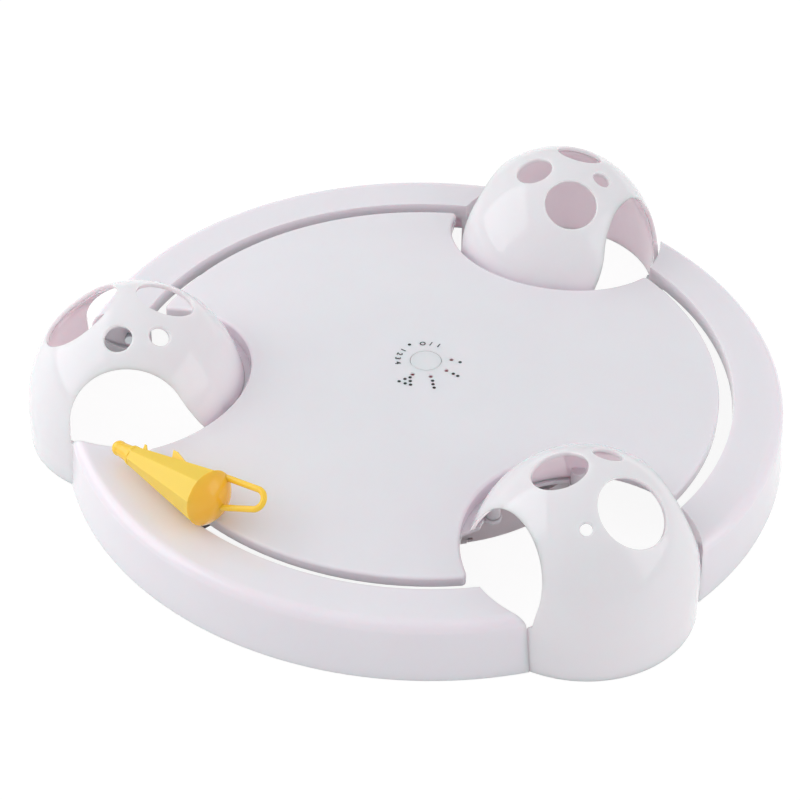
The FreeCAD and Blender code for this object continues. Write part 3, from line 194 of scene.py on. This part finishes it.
def moulded(name, rgba, *, roughness, grain_mm, bump, mottle=0.02, ior=1.5):
    """Plastic from a mould: a base colour and a gloss that drift a little, and a rippled
    skin whose grain has a size in millimetres and a strength."""
    made, tree, out = material(name)
    place = add(tree, "ShaderNodeTexCoord").outputs["Object"]
    cloud = add(tree, "ShaderNodeTexNoise", [
        ("Vector", place), ("Scale", DRIFT_PER_METRE), ("Detail", 2.0)])
    dark = tuple(c * (1 - mottle) for c in rgba[:3]) + (1.0,)
    light = tuple(min(1.0, c * (1 + mottle)) for c in rgba[:3]) + (1.0,)
    shade = add(tree, "ShaderNodeMix", [
        ("Factor", cloud.outputs["Fac"]), (6, dark), (7, light)], data_type="RGBA")
    skin = add(tree, "ShaderNodeTexNoise", [
        ("Vector", place), ("Scale", 1.0 / (grain_mm * MM)), ("Detail", 3.0),
        ("Roughness", 0.55)])
    ripple = add(tree, "ShaderNodeBump", [
        ("Height", skin.outputs["Fac"]), ("Strength", bump),
        ("Distance", SKIN_DEPTH_MM * MM)])
    gloss = add(tree, "ShaderNodeMapRange", [
        ("Value", cloud.outputs["Fac"]), ("To Min", roughness * (1 - GLOSS_DRIFT)),
        ("To Max", roughness * (1 + GLOSS_DRIFT))])
    surface = add(tree, "ShaderNodeBsdfPrincipled", [
        ("Base Color", shade.outputs[2]), ("Roughness", gloss.outputs["Result"]),
        ("IOR", ior), ("Normal", ripple.outputs["Normal"])])
    tree.links.new(surface.outputs["BSDF"], out.inputs["Surface"])
    return made


def metal(name, rgba, roughness):
    """Metal with fine level lines, as turning and rolling leave them."""
    made, tree, out = material(name)
    place = add(tree, "ShaderNodeTexCoord").outputs["Object"]
    stretch = add(tree, "ShaderNodeMapping", [
        ("Vector", place), ("Scale", (1.0, 1.0, LINE_LENGTH_MM / LINE_GAP_MM))])
    lines = add(tree, "ShaderNodeTexNoise", [
        ("Vector", stretch.outputs["Vector"]), ("Scale", 1.0 / (LINE_LENGTH_MM * MM)),
        ("Detail", 2.0)])
    gloss = add(tree, "ShaderNodeMapRange", [
        ("Value", lines.outputs["Fac"]), ("To Min", roughness * METAL_BRIGHTEST),
        ("To Max", roughness * METAL_DULLEST)])
    surface = add(tree, "ShaderNodeBsdfPrincipled", [
        ("Base Color", rgba), ("Metallic", 1.0), ("Roughness", gloss.outputs["Result"])])
    tree.links.new(surface.outputs["BSDF"], out.inputs["Surface"])
    return made


def glow(made, weight, depth_mm, tint):
    """Let light wander inside a plastic: how much, how deep, and each colour's share."""
    surface = next(n for n in made.node_tree.nodes if n.type == "BSDF_PRINCIPLED")
    surface.inputs["Subsurface Weight"].default_value = weight
    surface.inputs["Subsurface Scale"].default_value = depth_mm * MM
    surface.inputs["Subsurface Radius"].default_value = tint


def dress(made, *nodes):
    """Give CAD nodes a material."""
    for name in nodes:
        for slot in NODES[name].material_slots:
            slot.material = made


# ------------------------------------------------------------------ pieces
class TOY_OT_shells(bpy.types.Operator):
    """Dress the white shells: deck, domes, ring segments and button"""
    bl_idname = "toy.shells"
    bl_label = "White Shells"

    def execute(self, context):
        look = context.scene.toy_finish
        skin = look.orange_peel / MM
        # Injection-moulded ABS from a polished mould: bright, with soft wide highlights.
        thick = moulded("white_abs_gloss", look.shell, roughness=0.12, grain_mm=skin,
                        bump=0.04, ior=1.54)
        glow(thick, 0.8, 6.0, (1.0, 0.6, 0.66))
        dress(thick, "deck", "ring_segment_front", "ring_segment_right", "ring_segment_back",
              "power_button")
        # The same plastic in the domes' thin walls: light gets through, and fills the
        # insides faintly pink.
        thin = moulded("white_abs_thin_wall", look.dome, roughness=0.08, grain_mm=skin,
                       bump=0.04, ior=1.54)
        glow(thin, 1.0, 9.0, (1.0, 0.62, 0.68))
        dress(thin, "dome_front", "dome_back", "dome_left")
        return {"FINISHED"}


class TOY_OT_drum(bpy.types.Operator):
    """Dress the drum, the chassis, the battery door and the feet"""
    bl_idname = "toy.drum"
    bl_label = "Drum and Feet"

    def execute(self, context):
        look = context.scene.toy_finish
        # The same ABS from a spark-textured mould: an even, duller white, with a pink tinge
        # painted in for the pinkish shade in the gaps and insides.
        plain = moulded("satin_abs_painted_pink_shade", look.inner, roughness=0.42, grain_mm=0.5,
                        bump=0.25)
        glow(plain, 0.6, 5.0, (1.0, 0.6, 0.6))
        dress(plain, "base_pan", "chassis", "battery_door")
        # Moulded elastomer: dull and faintly grained.
        rubber = moulded("grey_rubber", look.rubber, roughness=0.8, grain_mm=0.4, bump=0.5,
                         mottle=0.08)
        dress(rubber, "rubber_feet")
        return {"FINISHED"}


class TOY_OT_drive(bpy.types.Operator):
    """Dress the motor, the gears, the drive ring and the arm"""
    bl_idname = "toy.drive"
    bl_label = "Drive"

    def execute(self, context):
        look = context.scene.toy_finish
        # Moulded acetal looks waxy: creamy white with a broad sheen.
        acetal = moulded("natural_acetal", look.gear, roughness=0.38, grain_mm=0.8,
                         bump=0.08)
        dress(acetal, "drive_ring", "drive_ring_retainer", "reduction_gear")
        # Moulded polypropylene, only seen through the slot: its soft dark brown is painted
        # shade, the deep shade under the deck and the lure.
        brown = moulded("arm_painted_shade", look.arm, roughness=0.45, grain_mm=0.6,
                        bump=0.2)
        dress(brown, "lure_arm")
        # Drawn and plated steel: bright, with a slightly milky reflection.
        dress(metal("plated_motor_can", look.can, 0.28), "motor_can")
        # Brass from the lathe: warm yellow and sharp.
        dress(metal("turned_brass", look.brass, 0.22), "motor_pinion")
        # Ground steel: the sharpest reflection of the metals.
        dress(metal("ground_steel", look.steel, 0.2), "motor_shaft", "gear_axle")
        # Rolled sheet with zinc on it: grey and a little dull.
        dress(metal("zinc_plated_plate", look.plate, 0.35), "motor_bracket")
        return {"FINISHED"}


class TOY_OT_lure(bpy.types.Operator):
    """Dress the lure, its end cap and its loop"""
    bl_idname = "toy.lure"
    bl_label = "Lure"

    def execute(self, context):
        look = context.scene.toy_finish
        # Thin moulded polyethylene lets a little light in, which makes the yellow glow.
        body = moulded("yellow_polyethylene", look.yellow, roughness=0.16, grain_mm=1.2,
                       bump=0.05)
        glow(body, 0.5, 4.0, (1.0, 0.7, 0.27))
        dress(body, "lure_body", "lure_loop")
        # The cap is the same plastic, thicker, so its yellow is deeper.
        cap = moulded("orange_polyethylene", look.orange, roughness=0.18, grain_mm=1.2,
                      bump=0.05)
        glow(cap, 0.4, 4.0, (1.0, 0.55, 0.15))
        dress(cap, "lure_cap")
        return {"FINISHED"}


def crown_height(marks, x, y):
    """Height of the deck's crowned top over a point."""
    ball = (marks.crown_edge ** 2 + marks.crown_rise ** 2) / (2 * marks.crown_rise)
    edge = marks.crown_edge_z + marks.crown_rise - ball
    return edge + math.sqrt(ball ** 2 - x ** 2 - y ** 2)


def printed(name, marks, shape, made):
    """Lay flat faces on the crowned deck as a film of ink that bites into it as far."""
    # Made by hand, because an extrusion orders its faces differently on each run.
    flats, rims = list(shape.faces), [edge for edge in shape.edges if edge.is_boundary]
    under = {vert: shape.verts.new(vert.co) for vert in list(shape.verts)}
    for face in flats:
        shape.faces.new([under[vert] for vert in list(face.verts)[::-1]])
    for edge in rims:
        first, second = edge.verts
        shape.faces.new((first, second, under[second], under[first]))
    for upper, lower in under.items():
        height = crown_height(marks, upper.co.x, upper.co.y)
        upper.co.z = height + marks.ink_film
        lower.co.z = height - marks.ink_film
    bmesh.ops.recalc_face_normals(shape, faces=list(shape.faces))
    mesh = bpy.data.meshes.new(name)
    shape.to_mesh(mesh)
    shape.free()
    mesh.materials.append(made)
    piece = bpy.data.objects.new(name, mesh)
    bpy.context.scene.collection.objects.link(piece)
    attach(piece, "base")


def figure_faces(shape, text, height, matrix):
    """Add a figure's outline as flat faces."""
    data = bpy.data.curves.new("figure", "FONT")
    data.body = text
    data.align_x = "CENTER"
    data.size = height / CAPITAL
    data.offset = height * STROKE_GAIN
    data.resolution_u = CURVE_STEPS
    holder = bpy.data.objects.new("figure", data)
    mesh = bpy.data.meshes.new_from_object(holder)
    mesh.transform(matrix)
    shape.from_mesh(mesh)
    bpy.data.meshes.remove(mesh)
    bpy.data.objects.remove(holder)
    bpy.data.curves.remove(data)


class TOY_OT_marks(bpy.types.Operator):
    """Print the dots beside the lamps and the figures beside the button"""
    bl_idname = "toy.marks"
    bl_label = "Printed Marks"

    def execute(self, context):
        marks = context.scene.toy_marks
        # Pad-printed ink: a thin, nearly black film, dull and slightly uneven in tone.
        ink = moulded("pad_printed_ink", context.scene.toy_finish.ink, roughness=0.55,
                      grain_mm=0.3, bump=0.1, mottle=0.15)
        middle = marks.figure_circle + marks.figure_height / 2
        turn = math.radians(ARC_DOT)
        spots = [spot for group in DOTS for spot in group]
        spots.append((middle * math.cos(turn) / MM, middle * math.sin(turn) / MM))
        shape = bmesh.new()
        for x, y in spots:
            bmesh.ops.create_circle(shape, cap_ends=True, segments=DOT_SIDES,
                                    radius=marks.dot_radius,
                                    matrix=Matrix.Translation((x * MM, y * MM, 0.0)))
        printed("printed_dots", marks, shape, ink)

        shape = bmesh.new()
        stand = Matrix.Translation((middle, 0.0, 0.0))
        upright = Matrix.Rotation(math.radians(90), 4, "Z")
        for text, degrees in FIGURES:
            spin = Matrix.Rotation(math.radians(degrees), 4, "Z")
            figure_faces(shape, text, marks.figure_height, spin @ stand @ upright)
        printed("printed_figures", marks, shape, ink)
        return {"FINISHED"}


class TOY_OT_electrics(bpy.types.Operator):
    """Dress the board, the switch, the lamps, the cells and the contacts"""
    bl_idname = "toy.electrics"
    bl_label = "Electrics"

    def execute(self, context):
        look = context.scene.toy_finish
        # Cast red epoxy over an unlit chip: a deep red with a sharp highlight.
        lens = moulded("red_epoxy_lens", look.lamp, roughness=0.12, grain_mm=2.0, bump=0.02)
        dress(lens, "indicator_leds")
        # Solder mask over glass cloth: a glassy green with a slight unevenness.
        mask = moulded("green_solder_mask", look.board, roughness=0.3, grain_mm=1.5,
                       bump=0.15, mottle=0.12)
        dress(mask, "control_board")
        # Pressed phenolic: a flat, dry black.
        black = moulded("black_phenolic", look.phenolic, roughness=0.5, grain_mm=0.5,
                        bump=0.2)
        dress(black, "tact_switch", "switch_plunger", "motor_end_cap")
        # Vinyl shrunk on the cells: dark and shiny, with a soft ripple.
        sleeve = moulded("shrunk_vinyl_sleeve", look.sleeve, roughness=0.25, grain_mm=2.5,
                         bump=0.1)
        dress(sleeve, "battery_cells")
        # Rolled spring steel with nickel on it: bright, with a warm tinge.
        dress(metal("nickel_spring_steel", look.nickel, 0.2), "contact_springs",
              "contact_plates")
        return {"FINISHED"}


class TOY_OT_screws(bpy.types.Operator):
    """Dress the screws"""
    bl_idname = "toy.screws"
    bl_label = "Screws"

    def execute(self, context):
        # Headed steel with zinc on it: pale bluish grey and fairly bright.
        dress(metal("zinc_plated_screw", context.scene.toy_finish.screw, 0.3), "pan_screws",
              "deck_screws", "bracket_screws", "board_screws", "dome_screws", "ring_screws")
        return {"FINISHED"}


# ------------------------------------------------------------------ stage
class TOY_OT_stage(bpy.types.Operator):
    """Set the floor, the soft light and the camera"""
    bl_idname = "toy.stage"
    bl_label = "Stage"

    def execute(self, context):
        stage = context.scene.toy_stage
        floor(context.scene, stage)
        sky(context.scene, stage)
        lamp("soft_box_key", stage.key, KEY_SIZE, KEY_PLACE)
        lamp("soft_box_fill", stage.fill, FILL_SIZE, FILL_PLACE)
        camera(context.scene, stage)
        return {"FINISHED"}


def seen_by(tree, *rays):
    """Socket that is one for the named kinds of ray and zero for the others."""
    path = add(tree, "ShaderNodeLightPath")
    seen = path.outputs[rays[0]]
    for ray in rays[1:]:
        seen = add(tree, "ShaderNodeMath", [(0, seen), (1, path.outputs[ray])],
                   operation="MAXIMUM").outputs[0]
    return seen


def floor(scene, stage):
    """Plain white floor that keeps the toy's shadow."""
    mesh = bpy.data.meshes.new("floor")
    shape = bmesh.new()
    bmesh.ops.create_grid(shape, x_segments=2, y_segments=2, size=FLOOR_REACH)
    shape.to_mesh(mesh)
    shape.free()
    made = bpy.data.objects.new("floor", mesh)
    made.location.z = -stage.floor_gap
    scene.collection.objects.link(made)
    # What the eye sees keeps a faint shadow on white; what lights the toy is plain pale paper.
    paper, tree, out = material("white_paper_floor")
    seen = seen_by(tree, "Is Camera Ray", "Is Glossy Ray", "Is Transmission Ray")
    shaded = add(tree, "ShaderNodeBsdfDiffuse", [("Color", (FLOOR_SHADE,) * 3 + (1.0,))])
    steady = add(tree, "ShaderNodeEmission", [
        ("Color", (1.0, 1.0, 1.0, 1.0)), ("Strength", FLOOR_WHITE)])
    white = add(tree, "ShaderNodeAddShader", [
        (0, shaded.outputs["BSDF"]), (1, steady.outputs["Emission"])])
    plain = add(tree, "ShaderNodeBsdfDiffuse", [("Color", (FLOOR_PAPER,) * 3 + (1.0,))])
    both = add(tree, "ShaderNodeMixShader", [
        ("Fac", seen), (1, plain.outputs["BSDF"]), (2, white.outputs["Shader"])])
    tree.links.new(both.outputs["Shader"], out.inputs["Surface"])
    mesh.materials.append(paper)


def sky(scene, stage):
    """Soft even light from all round, that is seen as white."""
    world = scene.world or bpy.data.worlds.new("studio")
    scene.world = world
    world.use_nodes = True
    tree = world.node_tree
    tree.nodes.clear()
    seen = seen_by(tree, "Is Camera Ray", "Is Transmission Ray")
    level = add(tree, "ShaderNodeMapRange", [
        ("Value", seen), ("To Min", stage.sky), ("To Max", 1.0)])
    light = add(tree, "ShaderNodeBackground", [
        ("Color", (1.0, 1.0, 1.0, 1.0)), ("Strength", level.outputs["Result"])])
    add(tree, "ShaderNodeOutputWorld", [("Surface", light.outputs["Background"])])


def lamp(name, watts, size, place):
    """Rectangular soft box aimed at the toy."""
    data = bpy.data.lights.new(name, "AREA")
    data.shape = "RECTANGLE"
    data.size, data.size_y = size
    data.energy = watts
    made = bpy.data.objects.new(name, data)
    bpy.context.scene.collection.objects.link(made)
    made.location = place
    made.rotation_euler = (-Vector(place)).to_track_quat("-Z", "Y").to_euler()


def turned(first, second, turn):
    """Two axes turned by an angle, the first toward the second."""
    return (first * math.cos(turn) + second * math.sin(turn),
            second * math.cos(turn) - first * math.sin(turn))


def camera(scene, stage):
    """Camera that looks past the toy's origin by a small yaw and pitch, with a small roll."""
    spot = stage.distance * Vector((math.cos(stage.elevation) * math.cos(stage.azimuth),
                                    math.cos(stage.elevation) * math.sin(stage.azimuth),
                                    math.sin(stage.elevation)))
    ahead = -spot.normalized()
    right = Vector((-math.sin(stage.azimuth), math.cos(stage.azimuth), 0.0))
    up = right.cross(ahead)
    ahead, right = turned(ahead, right, stage.yaw)
    ahead, up = turned(ahead, up, stage.pitch)
    right, up = turned(right, up, stage.roll)
    data = bpy.data.cameras.new("camera")
    data.lens = stage.lens
    data.sensor_width = SENSOR_MM
    made = bpy.data.objects.new("camera", data)
    scene.collection.objects.link(made)
    axes = Matrix((right, up, -ahead)).transposed().to_4x4()
    made.matrix_world = Matrix.Translation(spot) @ axes
    scene.camera = made
    scene.view_settings.view_transform = "Standard"


# ------------------------------------------------------------------ panel and run
OPERATORS = (TOY_OT_shells, TOY_OT_drum, TOY_OT_drive, TOY_OT_lure, TOY_OT_marks,
             TOY_OT_electrics, TOY_OT_screws, TOY_OT_stage)


class TOY_PT_panel(bpy.types.Panel):
    """Steps that dress the toy"""
    bl_idname = "TOY_PT_panel"
    bl_label = "Chase Toy"
    bl_space_type = "VIEW_3D"
    bl_region_type = "UI"
    bl_category = "Chase Toy"

    def draw(self, context):
        for operator in OPERATORS:
            self.layout.operator(operator.bl_idname)


CLASSES = (ToyFinish, ToyMarks, ToyStage) + OPERATORS + (TOY_PT_panel,)


def register():
    for cls in CLASSES:
        bpy.utils.register_class(cls)
    bpy.types.Scene.toy_finish = PointerProperty(type=ToyFinish)
    bpy.types.Scene.toy_marks = PointerProperty(type=ToyMarks)
    bpy.types.Scene.toy_stage = PointerProperty(type=ToyStage)


def unregister():
    del bpy.types.Scene.toy_stage
    del bpy.types.Scene.toy_marks
    del bpy.types.Scene.toy_finish
    for cls in reversed(CLASSES):
        bpy.utils.unregister_class(cls)


def main():
    register()
    bpy.ops.toy.shells()
    bpy.ops.toy.drum()
    bpy.ops.toy.drive()
    bpy.ops.toy.lure()
    bpy.ops.toy.marks()
    bpy.ops.toy.electrics()
    bpy.ops.toy.screws()
    bpy.ops.toy.stage()


if __name__ == "__main__":
    main()
